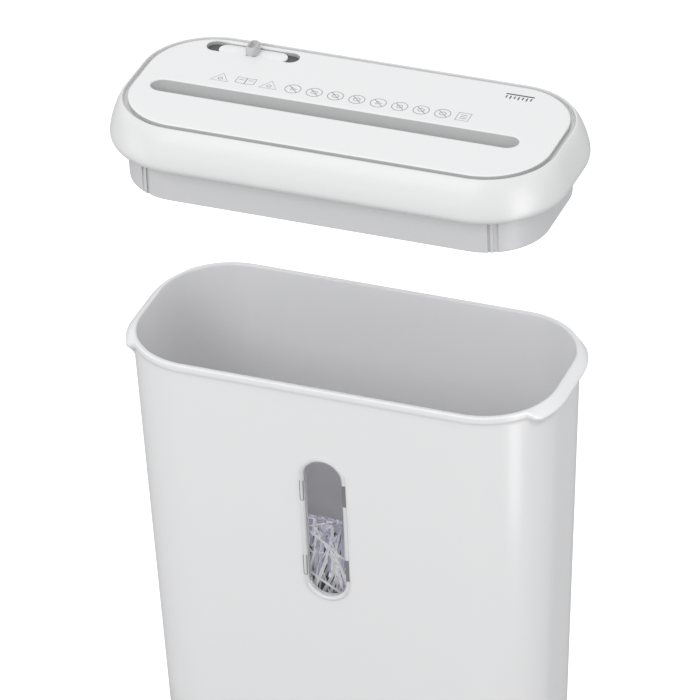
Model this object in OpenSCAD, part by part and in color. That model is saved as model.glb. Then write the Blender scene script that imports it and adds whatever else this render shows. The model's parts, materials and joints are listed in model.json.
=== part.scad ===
// Strip-cut paper shredder: a cutting head that lifts straight up off a tall waste bin.
// Millimetres. The origin is on the floor under the middle of the bin, X runs along the paper
// slot, the front with the window faces -Y, and +Z is up. The head is drawn lifted off the bin.

/* [Bin] */
// Height of the bin's rim above the floor
rim_height = 290; // [260:5:320]
// Length of the bin's wall at the rim, outside
bin_length = 276; // [270:1:284]
// Width of the bin's wall at the rim, outside
bin_width = 125; // [122:1:134]
// Radius of the bin's upright corners at the rim
bin_corner = 47; // [44:1:50]
// Thickness of the bin's wall
bin_wall = 2.3; // [1.8:0.1:2.3]
// Lean of the end walls in degrees
end_draft = 2.4; // [1:0.1:3]
// Lean of the front and back walls in degrees
side_draft = 1.7; // [0.5:0.1:2.5]
// How far the rim flares out at each end as a finger grip
grip_flare = 5; // [2:0.5:6]
// Depth of the flared finger grip below the rim
grip_depth = 13; // [8:1:20]
// Height of the rubber feet
foot_height = 2; // [1:0.5:4]

/* [Window] */
// Overall length of the window's frame
window_length = 106.5; // [80:0.5:120]
// Overall width of the window's frame
window_width = 30.5; // [26:0.5:40]
// Distance from the rim down to the window's centre
window_drop = 104; // [90:1:120]
// Sideways place of the window's centre
window_shift = -1; // [-10:1:10]
// Height of the top of the shredded paper above the floor
shreds_top = 198; // [100:2:220]

/* [Head] */
// Height that the head is lifted above its seat on the rim
head_lift = 137.5; // [100:0.5:160]
// Length of the cover at its bottom edge
cover_length = 288; // [284:1:292]
// Width of the cover at its bottom edge
cover_width = 131; // [129:1:134]
// Height of the cover above its bottom edge
cover_height = 26.5; // [25:0.5:28]
// Length of the groove's outer edge around the top panel
lip_length = 274.4; // [270:0.2:278]
// Width of the groove's outer edge around the top panel
lip_width = 113.6; // [110:0.2:116]
// Corner radius of the groove's outer edge
lip_corner = 42.7; // [38:0.1:46]
// Width and depth of the groove around the top panel
groove = 3; // [2:0.5:3]
// Height of the neck that drops into the bin
neck_height = 25; // [22:0.5:26]
// Length of the neck at its bottom edge
neck_length = 267.6; // [264:0.2:268]
// Width of the neck at its bottom edge
neck_width = 113; // [110:0.5:114]

/* [Paper slot] */
// Length of the straight part of the slot
slot_length = 220; // [216:1:222]
// Width of the flared mouth of the slot
mouth_width = 15.6; // [12:0.2:16]
// Width of the slot at the bottom of the flare
slot_width = 5; // [4.5:0.1:6]
// Sideways place of the slot's centre
slot_shift = -5; // [-6:0.5:-4]
// Place of the slot's centre from front to back
slot_y = -10.2; // [-11:0.1:-9.5]

/* [Mode slider] */
// Length of the slider's recess
recess_length = 60.4; // [56:0.2:64]
// Width of the slider's recess
recess_width = 12.4; // [11:0.2:12.6]
// Length of the sliding plate
plate_length = 44.6; // [40:0.2:45]
// Sideways place of the recess
slider_x = -78.6; // [-80:0.2:-76]
// Place of the recess from front to back
slider_y = 44.3; // [43:0.1:44.4]
// Height of the knob above the top panel
knob_rise = 5.4; // [4:0.2:8]

/* [Cutters] */
// Number of cutting discs on each shaft
disc_count = 18; // [16:1:18]
// Clearance beside each disc, between it and its neighbour on the other shaft
disc_play = 0.15; // [0.1:0.05:0.3]
// Radius of a disc
disc_r = 15; // [14.5:0.1:15]
// How far the front and rear discs reach past each other at the nip
disc_overlap = 3; // [2:0.1:3.4]

/* [Gears] */
// Pressure angle of every gear in degrees
pressure_angle = 25; // [24:1:26]
// Share of the pitch that a tooth fills at the pitch circle
tooth_fill = 0.93; // [0.88:0.01:0.95]

/* [Hidden] */
$fn = 48;
eps = 0.01;
slice = 0.02;

// Heights. Places in the head are measured from its seat, the cover's bottom edge.
head_z = rim_height + head_lift;
panel_top = cover_height + 0.5;
panel_thick = 3;
ledge_top = cover_height - groove;
ledge_thick = 2;
neck_wall = 2.3;
floor_thick = 2;
floor_top = -neck_height + floor_thick;

// The waste bin's outline at its floor.
end_run = (rim_height - foot_height) * tan(end_draft);
side_run = (rim_height - foot_height) * tan(side_draft);
foot_length = bin_length - 2 * end_run;
foot_width = bin_width - 2 * side_run;
foot_corner = bin_corner - 8;
foot_r = 7;

// The window leans with the front wall.
window_z = rim_height - window_drop;
window_wall_y = -bin_width / 2 + window_drop * tan(side_draft);
ring_wide = 2.2;
// The heap slopes down from the window to the back wall.
shreds_back = shreds_top - 74;

// The cutting unit: front and rear shafts side by side with the nip line under the slot.
axis_z = -2.5;
shaft_gap = 2 * disc_r - disc_overlap;
front_y = slot_y - shaft_gap / 2;
rear_y = slot_y + shaft_gap / 2;
disc_pitch = 12;
disc_thick = disc_pitch / 2 - 2 * disc_play;
stack_length = disc_count * disc_pitch;
stack_x = slot_shift - stack_length / 2;
plate_thick = 1.5;
left_plate_x = stack_x - 3 - plate_thick;
right_plate_x = stack_x + stack_length + 2;
shaft_r = 5;
journal_r = 4;
running = 0.05;
spacer_r = 11;

// Gears: [teeth, module]. The drive gear on the rear shaft is turned by the second gear's
// pinion, whose wheel is turned by the first gear's pinion, whose wheel the motor turns.
sync_teeth = 18;
sync_module = shaft_gap / sync_teeth;
drive_teeth = 30;
drive_module = 1;
pinion_teeth = 10;
second_teeth = 32;
second_module = 0.8;
first_teeth = 36;
first_module = 0.6;
gear_thick = 3.5;
gear_step = gear_thick + 1;
plane_a = right_plate_x + plate_thick + 1.5;
plane_b = plane_a + gear_step;
plane_c = plane_b + gear_step;
drive_dist = (drive_teeth + pinion_teeth) * drive_module / 2;
second_dist = (second_teeth + pinion_teeth) * second_module / 2;
first_dist = (first_teeth + pinion_teeth) * first_module / 2;
second_angle = 5;
first_angle = 32;
motor_angle = -90;
rear_at = [rear_y, axis_z];
front_at = [front_y, axis_z];
second_at = rear_at + drive_dist * [cos(second_angle), sin(second_angle)];
first_at = second_at + second_dist * [cos(first_angle), sin(first_angle)];
motor_at = first_at + first_dist * [cos(motor_angle), sin(motor_angle)];
gear_bore = 2.05;
pin_r = 2;

// A tooth of one gear stands in a gap of the next at rest. Angles are about +X from +Y.
function mesh_phase(direction, n1, phase1, n2) =
    direction + 180 - (0.5 - (direction - phase1) * n1 / 360) * 360 / n2;
drive_phase = 0;
second_pinion_phase = mesh_phase(second_angle, drive_teeth, drive_phase, pinion_teeth);
second_wheel_phase = 0;
first_pinion_phase = mesh_phase(first_angle, second_teeth, second_wheel_phase, pinion_teeth);
first_wheel_phase = 0;
motor_phase = mesh_phase(motor_angle, first_teeth, first_wheel_phase, pinion_teeth);
rear_sync_phase = 0;
front_sync_phase = mesh_phase(180, sync_teeth, rear_sync_phase, sync_teeth);

// The motor lies behind the rear shaft, bolted to the right side plate.
motor_r = 14;
motor_length = 58;
motor_wall = 1.2;
motor_x = right_plate_x - motor_length;
motor_shaft_r = 1.5;

// Tie rods, as [y, z]. The two low ones carry the stripper combs.
front_comb_at = [-41, -16];
rear_comb_at = [16.5, -17.3];
rod_places = [[-43, 9], [18.5, 14.5], front_comb_at, rear_comb_at];
rod_r = 2.5;
comb_r = 4.3;

// Paper guides under the flared mouth, and the sensing lever between them.
funnel_bottom = 15.5;
guide_bottom = 9.5;
guide_thick = 1.8;
guide_gap = 4.4;
lever_x = slot_shift;
lever_at = [1.8, 15.6];
lever_arm = 13.6;
lever_rest = 14;

// Safety plunger in the front of the neck, pressed by a lug inside the bin.
plunger_x = -60;
plunger_y = -50.2;
plunger_r = 2;
plunger_tip = 2;

// Slider: the plate runs in a recess, and its stem reaches the switch through a slit.
recess_floor = panel_top - 2.6;
tongue_thick = 1.5;
stem_width = 3.6;
stem_length = 8;
slider_travel = (recess_length - plate_length) / 2 - 0.4;
switch_top = 21.4;

// Screw posts near the two ends of the head.
post_places = [[-127, -20], [-127, 20], [127, -20], [127, 20]];
post_r = 3;
post_split = -3;
gear_screw_places = [for (a = [160, 225]) rear_at + 20.4 * [cos(a), sin(a)]];
screw_r = 1.4;

white = [0.93, 0.93, 0.92];
pale_grey = [0.80, 0.80, 0.81];
mid_grey = [0.62, 0.62, 0.63];
dark_grey = [0.25, 0.25, 0.27];
steel = [0.62, 0.63, 0.65];
bronze = [0.70, 0.52, 0.30];
cream = [0.90, 0.87, 0.78];
board_green = [0.12, 0.40, 0.22];

// Four corner posts of a rounded rectangle, or a solid between two such outlines.
module outline_slice(l, w, r, z) {
    for (x = [-1, 1], y = [-1, 1])
        translate([x * (l / 2 - r), y * (w / 2 - r), z]) cylinder(h = slice, r = r);
}
module loft(a, b, z0, z1) {
    hull() {
        outline_slice(a[0], a[1], a[2], z0);
        outline_slice(b[0], b[1], b[2], z1 - slice);
    }
}
// A straight-sided rounded rectangle between two heights.
module slab(o, z0, z1) {
    translate([0, 0, z0]) linear_extrude(z1 - z0) hull()
        for (x = [-1, 1], y = [-1, 1])
            translate([x * (o[0] / 2 - o[2]), y * (o[1] / 2 - o[2])]) circle(r = o[2]);
}
function grown(o, d) = [o[0] + 2 * d, o[1] + 2 * d, o[2] + d];

// A stadium outline along X or Y.
module stadium(l, w) {
    square([l - w, w], center = true);
    for (s = [-1, 1]) translate([s * (l - w) / 2, 0]) circle(d = w);
}
// A bar whose cross-section is drawn in Y and Z and runs along X.
module along_x(x, length) {
    translate([x, 0, 0]) rotate([90, 0, 90]) linear_extrude(length) children();
}
module rod(x, length, at, r) {
    translate([x, at[0], at[1]]) rotate([0, 90, 0]) cylinder(h = length, r = r);
}
module in_head() { translate([0, 0, head_z]) children(); }

// Bin.
bin_top = [bin_length, bin_width, bin_corner];
bin_foot = [foot_length, foot_width, foot_corner];
function bin_at(z) = bin_foot + (bin_top - bin_foot) * (z - foot_height) / (rim_height - foot_height);
bead_height = 5;
bead = 1;
rim_outer = [bin_length + 2 * grip_flare, bin_width + 2 * bead, bin_corner + 2];
rim_inner = [bin_length + 2 * grip_flare - 6.4, bin_width - 2 * bin_wall, bin_corner - 1];
grip_z = rim_height - grip_depth;
inner_floor = foot_height + 2.5;
lug_top = rim_height - neck_height - plunger_tip - 0.3;

module window_plug(l, w, y0, y1) {
    translate([window_shift, window_wall_y, window_z])
        rotate([side_draft, 0, 0]) translate([0, y1, 0]) rotate([90, 0, 0])
            linear_extrude(y1 - y0) rotate(90) stadium(l, w);
}

module bin_shell() {
    color(white) difference() {
        union() {
            loft(bin_foot, bin_top, foot_height, rim_height);
            loft(grown(bin_at(grip_z), -0.2), rim_outer, grip_z, rim_height);
            loft(grown(bin_top, bead), grown(bin_top, bead), rim_height - bead_height, rim_height);
        }
        loft(grown(bin_at(inner_floor), -bin_wall), grown(bin_top, -bin_wall),
            inner_floor, rim_height + eps);
        loft(grown(bin_at(grip_z), -bin_wall - 0.2), rim_inner, grip_z, rim_height + eps);
        window_plug(window_length - 2 * ring_wide, window_width - 2 * ring_wide, -6, 8);
        for (x = [-1, 1], y = [-1, 1])
            translate([x * (foot_length / 2 - 24), y * (foot_width / 2 - 14), foot_height - eps])
                cylinder(h = 1, r = foot_r + 0.2);
    }
    color(white) bin_lug();
}
// The lug hangs on the front wall under the head's safety plunger.
module bin_lug() {
    wall_y = -bin_width / 2 + bin_wall + (rim_height - lug_top) * tan(side_draft);
    translate([plunger_x - 4, wall_y - 1.2, lug_top - 16]) cube([8, plunger_y - wall_y + 3.5, 16]);
}

// The insert's frame stands proud outside, its plug fills the opening, and four clips hold it.
module bin_window() {
    proud = 1;
    color([0.85, 0.88, 0.9, 0.5]) {
        difference() {
            union() {
                window_plug(window_length, window_width, -proud, -0.03);
                window_plug(window_length - 2 * ring_wide - 0.4, window_width - 2 * ring_wide - 0.4,
                    -proud, bin_wall + 1.5);
            }
            window_plug(window_length - 2 * ring_wide - 3.4, window_width - 2 * ring_wide - 3.4,
                0.6, bin_wall + 6);
            window_plug(window_length - 2 * ring_wide - 1.4, window_width - 2 * ring_wide - 1.4,
                -proud - 1, -0.6);
        }
        for (s = [-1, 1], z = [-38, 38])
            translate([window_shift, window_wall_y, window_z]) rotate([side_draft, 0, 0])
                translate([s * (window_width / 2 - ring_wide) - 1.5, bin_wall + 0.3, z - 6])
                    cube([3, 1.2, 12]);
    }
}

module bin_feet() {
    color(dark_grey)
        for (x = [-1, 1], y = [-1, 1])
            translate([x * (foot_length / 2 - 24), y * (foot_width / 2 - 14), 0])
                cylinder(h = foot_height + 0.9, r = foot_r);
}

// The heap of paper strips, as a hollow mound banked up behind the window: loose strips weigh
// little for their size.
module bank(base, top, z_low, z_front, z_back) {
    hull() {
        outline_slice(base[0], base[1], base[2], z_low);
        for (x = [-1, 1], s = [[-1, z_front], [1, z_back]])
            translate([x * (top[0] / 2 - top[2]), s[0] * (top[1] / 2 - top[2]), s[1] - slice])
                cylinder(h = slice, r = top[2]);
    }
}
module paper_shreds() {
    clear = 4;
    skin = 2.5;
    low = inner_floor + 0.3;
    base = grown(bin_at(low), -bin_wall - clear);
    top = grown(bin_at(shreds_top), -bin_wall - clear - 1);
    color([0.9, 0.89, 0.93]) difference() {
        bank(base, top, low, shreds_top, shreds_back);
        bank(grown(base, -skin), grown(top, -skin), low - eps, shreds_top - skin - 1, shreds_back - skin);
    }
}

// Head cover: a ring that flares from the groove's lip to its widest line, then tucks in.
lip = [lip_length, lip_width, lip_corner];
cover_foot = [cover_length, cover_width, 50];
cover_wide = [cover_length + 3, cover_width + 4, 52];
cover_mid = [cover_length - 1, cover_width - 1, 49];
cover_wide_z = 6;
cover_mid_z = 17;
cover_wall = 2.5;
cover_lip = 1.4;
ledge_hole = [lip_length - 26, lip_width - 15, lip_corner - 9.4];

module head_cover() {
    in_head() color(white) {
        difference() {
            union() {
                loft(cover_foot, cover_wide, 0, cover_wide_z);
                loft(cover_wide, cover_mid, cover_wide_z - slice, cover_mid_z);
                loft(cover_mid, grown(lip, cover_lip), cover_mid_z - slice, cover_height);
            }
            loft(grown(cover_foot, -cover_wall), grown(cover_foot, -cover_wall), -eps, cover_mid_z);
            loft(grown(cover_foot, -cover_wall), grown(lip, -1.5), cover_mid_z - eps,
                ledge_top - ledge_thick);
            loft(lip, lip, ledge_top, cover_height + 1);
            loft(ledge_hole, ledge_hole, ledge_top - ledge_thick - 1, cover_height);
            translate([slider_x - recess_length / 2 - 4, slider_y - recess_width, 4])
                cube([recess_length + 8, recess_width * 2 - 3.2, cover_height]);
            translate([gland_x, cover_width / 2 - 4, gland_z]) rotate([-90, 0, 0])
                cylinder(h = 12, r = gland_r + 0.1);
        }
        for (p = post_places) difference() {
            translate([p[0], p[1], post_split]) cylinder(h = ledge_top - 1 - post_split, r = post_r);
            translate([p[0], p[1], post_split - eps]) cylinder(h = 14, r = screw_r);
        }
    }
}

panel = grown(lip, -groove);
module mouth(l, w, z) {
    translate([slot_shift, slot_y, z]) linear_extrude(slice) stadium(l, w);
}
module top_panel() {
    in_head() color([0.9, 0.9, 0.89]) difference() {
        union() {
            slab(panel, panel_top - panel_thick - 0.5, panel_top);
            hull() {
                mouth(slot_length + mouth_width + 3, mouth_width + 3.5, panel_top - panel_thick);
                mouth(slot_length + slot_width + 4, slot_width + 4, funnel_bottom);
            }
            translate([slider_x, slider_y, recess_floor - 1.5])
                linear_extrude(panel_top - recess_floor) stadium(recess_length + 3, recess_width + 3);
        }
        hull() {
            mouth(slot_length + mouth_width, mouth_width, panel_top);
            mouth(slot_length + slot_width, slot_width, funnel_bottom - eps);
        }
        translate([slider_x, slider_y, recess_floor])
            linear_extrude(4) stadium(recess_length, recess_width);
        translate([slider_x, slider_y, 0])
            linear_extrude(panel_top)
                square([stem_length + 2 * slider_travel + 0.8, stem_width + 0.6], center = true);
    }
}

// Head base: the neck that drops into the bin, with an opening in its floor for the strips.
neck_foot = [neck_length, neck_width, 38.3];
neck_top = [neck_length + 1.6, neck_width + 1.4, 39];
flange = grown(cover_foot, -cover_wall - 0.3);
groove_x = 111;
module neck_grooves() {
    for (s = [-1, 1], f = [-1, 1], i = [-1, 1])
        translate([s * groove_x + i * 1.9 - 1.1, f * (neck_width / 2 - 4.4) - 2.6, -neck_height - 1])
            cube([2.2, 5.2, neck_height + 0.5]);
}
module head_base() {
    in_head() color(pale_grey) {
        difference() {
            union() {
                difference() {
                    loft(neck_foot, neck_top, -neck_height, 0);
                    intersection() {
                        neck_grooves();
                        difference() {
                            loft(grown(neck_foot, 2), grown(neck_top, 2), -neck_height - 2, 1);
                            loft(grown(neck_foot, -1.2), grown(neck_top, -1.2), -neck_height - 2, 1);
                        }
                    }
                }
                loft(flange, flange, 0.2, 2.2);
                loft(neck_top, neck_top, -slice, 0.3);
            }
            loft(grown(neck_foot, -neck_wall), grown(neck_top, -neck_wall), floor_top, 2.5);
            translate([stack_x - 1, front_y - disc_r - 3, -neck_height - 1])
                cube([stack_length + 2, shaft_gap + 2 * disc_r + 4.5, 4]);
            for (p = post_places) translate([p[0], p[1], -neck_height - 1]) cylinder(h = 4, r = 2);
            translate([plunger_x, plunger_y, -neck_height - 1]) cylinder(h = 4, r = plunger_r + running);
        }
        for (p = post_places) difference() {
            translate([p[0], p[1], floor_top - eps])
                cylinder(h = post_split - floor_top - 0.1, r = post_r);
            translate([p[0], p[1], floor_top - 1]) cylinder(h = 30, r = screw_r + 0.2);
        }
    }
}

// The two guides lead the sheet from the mouth to the nip. The rear one is notched for the lever.
module guide(side) {
    top_y = slot_y + side * slot_width / 2;
    low_y = slot_y + side * guide_gap / 2;
    along_x(slot_shift - slot_length / 2, slot_length) polygon([
        [top_y, funnel_bottom - 0.1], [low_y, guide_bottom], [low_y + side * guide_thick, guide_bottom],
        [top_y + side * (guide_thick + 1.2), funnel_bottom - 0.1]]);
}
module front_paper_guide() { in_head() color(pale_grey) guide(-1); }
lever_ears = [lever_x - 4.8, lever_x + 2.6];
ear_thick = 1.4;
lever_pin_r = 0.9;
module rear_paper_guide() {
    in_head() color(pale_grey) {
        difference() {
            guide(1);
            translate([lever_x - 2.4, slot_y, guide_bottom - 1]) cube([4.8, 12, 8]);
        }
        for (x = lever_ears) difference() {
            translate([x, lever_at[0] - 8.6, lever_at[1] - 2.2]) cube([ear_thick, 10.8, 2.2 + 1.6]);
            translate([x - 1, lever_at[0] - 10, funnel_bottom - 0.1]) cube([4, 8.4, 4]);
            rod(x - 1, ear_thick + 2, lever_at, lever_pin_r + running);
        }
    }
}

module side_plate(x, back_y) {
    low = floor_top + 0.4;
    high = 20;
    start_y = front_y - disc_r - 7.5;
    difference() {
        translate([x, start_y, low]) cube([plate_thick, back_y - start_y, high - low]);
        translate([x - 1, slot_y - 12, funnel_bottom - 0.4]) cube([plate_thick + 2, 24, high]);
        for (at = [front_at, rear_at]) rod(x - 1, plate_thick + 2, at, journal_r + 2);
        for (at = rod_places) rod(x - 1, plate_thick + 2, at, rod_r - 0.7);
        children();
    }
}
module left_side_plate() { in_head() color(steel) side_plate(left_plate_x, 24); }
module right_side_plate() {
    in_head() color(steel) side_plate(right_plate_x, motor_at[0] + 11) {
        rod(right_plate_x - 1, plate_thick + 2, motor_at, 4);
        rod(right_plate_x - 1, plate_thick + 2, second_at, pin_r);
        rod(right_plate_x - 1, plate_thick + 2, first_at, pin_r);
        for (p = gear_screw_places) rod(right_plate_x - 1, plate_thick + 2, p, screw_r);
    }
}

// Rods step down where they pass through the plates, and a nut holds each end.
module tie_rods() {
    x0 = left_plate_x + plate_thick;
    x1 = right_plate_x;
    in_head() color(steel) for (at = rod_places) {
        rod(x0, x1 - x0, at, rod_r);
        rod(x0 - plate_thick - 3, x1 - x0 + 2 * plate_thick + 4, at, rod_r - 0.7);
    }
}
module tie_rod_nuts() {
    in_head() color(steel) for (at = rod_places, x = [left_plate_x - 1.6, right_plate_x + plate_thick])
        difference() {
            translate([x, at[0], at[1]]) rotate([0, 90, 0]) cylinder(h = 1.6, r = 3.2, $fn = 6);
            rod(x - 1, 4, at, rod_r - 0.7);
        }
}
module shaft_bushes() {
    in_head() color(bronze) for (at = [front_at, rear_at], x = [left_plate_x, right_plate_x])
        difference() {
            union() {
                rod(x, plate_thick, at, journal_r + 2);
                rod(x < 0 ? x + plate_thick : x - 1.2, 1.2, at, journal_r + 3.5);
            }
            rod(x - 3, plate_thick + 6, at, journal_r + running);
        }
}

// Each comb is threaded on a low tie rod, and its fingers reach between the discs to keep the
// strips from wrapping round the spacers.
module comb(at, axis, first_x, count) {
    reach = norm(axis - at) - spacer_r - 0.6;
    tilt = atan2(axis[1] - at[1], axis[0] - at[0]);
    difference() {
        rod(stack_x + 1, stack_length - 2, at, comb_r);
        rod(stack_x, stack_length, at, rod_r + 0.02);
    }
    for (i = [0 : count - 1])
        translate([first_x + i * disc_pitch, at[0], at[1]]) rotate([tilt, 0, 0])
            translate([0, comb_r - 0.6, -1.4])
                cube([disc_pitch - disc_thick - 1.4, reach - comb_r + 0.6, 2.8]);
}
finger_x = stack_x + disc_play + disc_thick + 0.7;
module front_stripper_comb() {
    in_head() color(dark_grey) comb(front_comb_at, front_at, finger_x, disc_count);
}
module rear_stripper_comb() {
    in_head() color(dark_grey) comb(rear_comb_at, rear_at, finger_x + disc_pitch / 2, disc_count - 1);
}

// Motor: a steel can with magnets inside, a plastic end cap, and a rotor on a thin shaft.
module motor_can() {
    in_head() color([0.7, 0.71, 0.72]) difference() {
        rod(motor_x + 4, motor_length - 4, motor_at, motor_r);
        rod(motor_x + 3, motor_length - 5, motor_at, motor_r - motor_wall);
        rod(right_plate_x - 4, 8, motor_at, motor_shaft_r + running);
    }
}
module motor_end_cap() {
    in_head() color(dark_grey) difference() {
        union() {
            rod(motor_x, 4, motor_at, motor_r);
            rod(motor_x + 4 - eps, 3, motor_at, motor_r - motor_wall - 0.05);
        }
        rod(motor_x + 1.5, 9, motor_at, motor_shaft_r + running);
    }
}
module motor_magnets() {
    in_head() color(mid_grey) difference() {
        rod(motor_x + 14, 34, motor_at, motor_r - motor_wall - 0.05);
        rod(motor_x + 13, 36, motor_at, motor_r - 4);
        translate([motor_x + 13, motor_at[0] - 3, motor_at[1] - motor_r]) cube([36, 6, 2 * motor_r]);
    }
}
module motor_rotor() {
    in_head() color([0.72, 0.42, 0.25]) {
        rod(motor_x + 2, plane_a + gear_thick - motor_x - 2, motor_at, motor_shaft_r);
        rod(motor_x + 15, 32, motor_at, motor_r - 4.6);
        rod(motor_x + 8.5, 5, motor_at, 4);
    }
}

module gear_pins() {
    in_head() color(steel) for (at = [second_at, first_at])
        rod(right_plate_x, plane_c + gear_thick + 0.4 - right_plate_x, at, pin_r);
}

// A stepped cap: one cup round each gear, only as deep as that gear needs.
module gear_cups(extra, x, back) {
    wheel_tip = 0.9;
    rod(x, plane_c + gear_thick + 0.6 - x + back, rear_at,
        drive_teeth * drive_module / 2 + wheel_tip + extra);
    rod(x, plane_c + gear_thick + 0.6 - x + back, second_at,
        pinion_teeth * drive_module / 2 + wheel_tip + 1.6 + extra);
    rod(x, plane_b + gear_thick + 0.6 - x + back, second_at,
        second_teeth * second_module / 2 + wheel_tip + extra);
    rod(x, plane_b + gear_thick + 0.6 - x + back, first_at,
        pinion_teeth * second_module / 2 + wheel_tip + 1 + extra);
    rod(x, plane_a + gear_thick + 0.6 - x + back, first_at,
        first_teeth * first_module / 2 + wheel_tip + extra);
    rod(x, plane_a + gear_thick + 0.6 - x + back, motor_at,
        pinion_teeth * first_module / 2 + wheel_tip + 1 + extra);
}
module gear_cover() {
    start = right_plate_x + plate_thick;
    in_head() color(cream) difference() {
        union() {
            gear_cups(1.6, start, 1.2);
            for (p = gear_screw_places) rod(start, 3, p, 3.2);
        }
        gear_cups(0, start - 1, 0);
        for (p = gear_screw_places) rod(start - 1, 6, p, screw_r);
        for (at = [second_at, first_at]) rod(start, 14, at, pin_r);
        for (at = rod_places) rod(start - 1, 3.2, at, 3.6);
    }
}
module screw_along_x(x, at, length) {
    rod(x, 1.6, at, 2.7);
    rod(x - length, length + eps, at, screw_r);
}
module gear_cover_screws() {
    start = right_plate_x + plate_thick;
    in_head() color(steel) for (p = gear_screw_places) screw_along_x(start + 3, p, 6.5);
}

// A gear drawn in Y and Z from its involute, with a little backlash.
function involute(a) = tan(a) * 180 / PI - a;
function half_tooth(rad, r, n) =
    90 * tooth_fill / n + involute(pressure_angle) - involute(acos(min(1, r * cos(pressure_angle) / rad)));
function gear_points(n, m, phase) = let (
    r = n * m / 2, base = r * cos(pressure_angle), tip = r + 0.85 * m, root = r - 1.1 * m,
    low = max(base, root + 0.01), radii = [for (i = [0 : 4]) low + (tip - low) * i / 4])
    [for (k = [0 : n - 1]) let (mid = phase + k * 360 / n) each concat(
        [root * [cos(mid - half_tooth(low, r, n)), sin(mid - half_tooth(low, r, n))]],
        [for (q = radii) q * [cos(mid - half_tooth(q, r, n)), sin(mid - half_tooth(q, r, n))]],
        [for (i = [4 : -1 : 0]) let (q = radii[i])
            q * [cos(mid + half_tooth(q, r, n)), sin(mid + half_tooth(q, r, n))]],
        [root * [cos(mid + half_tooth(low, r, n)), sin(mid + half_tooth(low, r, n))]])];
module gear(x, at, n, m, phase, thick) {
    translate([x, at[0], at[1]]) rotate([90, 0, 90])
        linear_extrude(thick) polygon(gear_points(n, m, phase));
}

module drive_gear() {
    in_head() color(cream) difference() {
        gear(plane_c, rear_at, drive_teeth, drive_module, drive_phase, gear_thick);
        rod(plane_c - 1, gear_thick + 2, rear_at, journal_r);
    }
}
module compound_gear(at, wheel_x, n, m, wheel_phase, pinion_m, pinion_phase) {
    difference() {
        union() {
            gear(wheel_x, at, n, m, wheel_phase, gear_thick);
            rod(wheel_x + gear_thick - eps, gear_step - gear_thick + 2 * eps, at,
                (pinion_teeth / 2 - 1.2) * pinion_m);
            gear(wheel_x + gear_step, at, pinion_teeth, pinion_m, pinion_phase, gear_thick);
        }
        rod(wheel_x - 1, 2 * gear_step + 2, at, gear_bore);
    }
}
module second_gear() {
    in_head() color(cream)
        compound_gear(second_at, plane_b, second_teeth, second_module, second_wheel_phase,
            drive_module, second_pinion_phase);
}
module first_gear() {
    in_head() color([0.35, 0.36, 0.38])
        compound_gear(first_at, plane_a, first_teeth, first_module, first_wheel_phase,
            second_module, first_pinion_phase);
}
module motor_pinion() {
    in_head() color(bronze) difference() {
        gear(plane_a, motor_at, pinion_teeth, first_module, motor_phase, gear_thick);
        rod(plane_a - 1, gear_thick + 2, motor_at, motor_shaft_r);
    }
}
sync_x = left_plate_x - 2 - gear_thick;
module sync_gear(at, phase) {
    difference() {
        gear(sync_x, at, sync_teeth, sync_module, phase, gear_thick);
        rod(sync_x - 1, gear_thick + 2, at, journal_r);
    }
}
module rear_sync_gear() { in_head() color(steel) sync_gear(rear_at, rear_sync_phase); }
module front_sync_gear() { in_head() color(steel) sync_gear(front_at, front_sync_phase); }

// Cutter shafts, discs and spacers. The rear discs stand half a pitch along from the front ones.
module shaft(at, right_end) {
    in_x = left_plate_x + plate_thick + 1.3;
    rod(in_x, right_plate_x - 1.3 - in_x, at, shaft_r);
    rod(sync_x - 0.5, right_end - sync_x + 0.5, at, journal_r);
}
module discs(at, x0, count) {
    for (i = [0 : count - 1]) difference() {
        rod(x0 + i * disc_pitch + disc_play, disc_thick, at, disc_r);
        rod(x0 + i * disc_pitch - 1, disc_thick + 3, at, shaft_r);
    }
}
module spacers(at, x0, count) {
    for (i = [0 : count - 1]) difference() {
        rod(x0 + i * disc_pitch + disc_play + disc_thick + 0.02,
            disc_pitch - disc_thick - 0.04, at, spacer_r);
        rod(x0 + i * disc_pitch + disc_thick - 1, disc_pitch, at, shaft_r);
    }
}
module front_shaft() { in_head() color(steel) shaft(front_at, right_plate_x + plate_thick + 1); }
module front_discs() { in_head() color(steel) discs(front_at, stack_x, disc_count); }
module front_spacers() { in_head() color(dark_grey) spacers(front_at, stack_x, disc_count - 1); }
module rear_shaft() { in_head() color(steel) shaft(rear_at, plane_c + gear_thick); }
module rear_discs() { in_head() color(steel) discs(rear_at, stack_x + disc_pitch / 2, disc_count); }
module rear_spacers() {
    in_head() color(dark_grey) spacers(rear_at, stack_x + disc_pitch / 2, disc_count - 1);
}

// Control board, its parts and the switches.
board_x = -104;
board_y = 25;
board_length = 130;
board_width = 24;
board_z = -15;
module control_board() {
    in_head() color(board_green) {
        translate([board_x, board_y, board_z]) cube([board_length, board_width, 1.6]);
        for (x = [board_x + 8, board_x + board_length - 8], y = [board_y + 4, board_y + board_width - 4])
            translate([x, y, floor_top]) cylinder(h = board_z - floor_top, r = 2);
    }
}
module board_parts() {
    top = board_z + 1.6;
    in_head() color(dark_grey) {
        translate([board_x + 14, board_y + 4, top]) cube([19, 15, 12]);
        translate([board_x + 40, board_y + 5, top]) cube([12, 12, 9]);
        for (i = [0 : 2]) translate([board_x + 62 + i * 11, board_y + 12, top]) cylinder(h = 11, r = 4);
        translate([board_x + 94, board_y + 5, top]) cube([20, 6, 6]);
        translate([board_x + 98, board_y + 15, top]) cube([24, 5, 5]);
    }
}
module mode_switch() {
    in_head() color(dark_grey) difference() {
        translate([slider_x - 17, slider_y - 5, switch_top - 9]) cube([34, 10, 9]);
        translate([slider_x, slider_y, switch_top - 3])
            linear_extrude(6)
                square([stem_length + 2 * slider_travel + 0.8, stem_width + 0.8], center = true);
    }
}
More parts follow.
